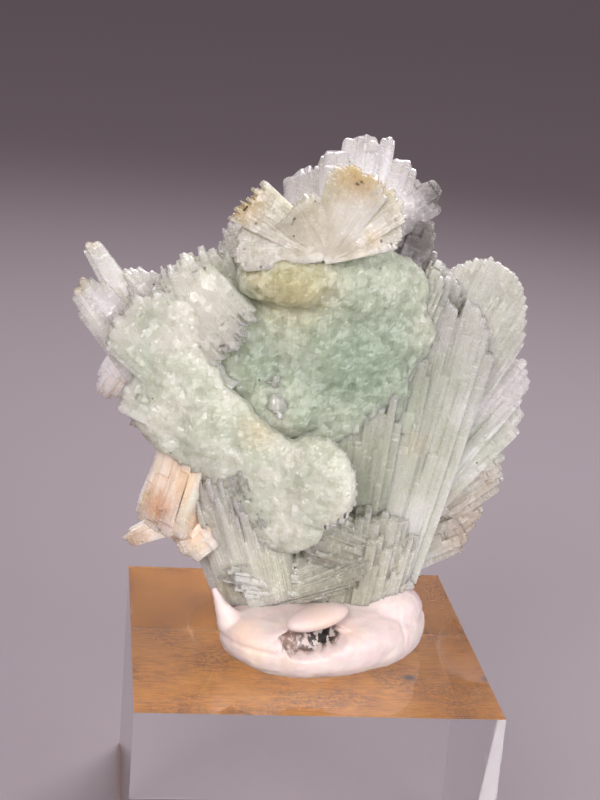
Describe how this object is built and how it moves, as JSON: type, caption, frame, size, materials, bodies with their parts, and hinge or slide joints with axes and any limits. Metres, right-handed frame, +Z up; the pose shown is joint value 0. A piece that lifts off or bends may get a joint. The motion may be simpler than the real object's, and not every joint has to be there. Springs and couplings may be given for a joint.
{
  "type": "mounted mineral specimen",
  "caption": "Radiating cluster of bladed blue-green aragonite crystals, stuck with white putty on a clear square display block with a brown backing sheet below.",
  "frame": {"origin": "centre of the footprint, on the underside of the backing sheet", "axes": "+Z up along the crystals; -Y is the front, which the picture shows; +X is to the viewer's right"},
  "size_m": [0.0545, 0.04, 0.0833],
  "materials": {
    "crystal": "translucent pale green to white crystal, bright striated blades and sugary crusts",
    "putty": "satin, hand-pressed, faintly smudged",
    "acrylic": "clear polished acrylic",
    "brown_sheet": "fibrous brown sheet"
  },
  "bodies": {
    "root": {"crystal_cluster": "crystal", "mineral_putty": "putty", "acrylic_block": "acrylic", "backing_sheet": "brown_sheet"}
  },
  "joints": []
}
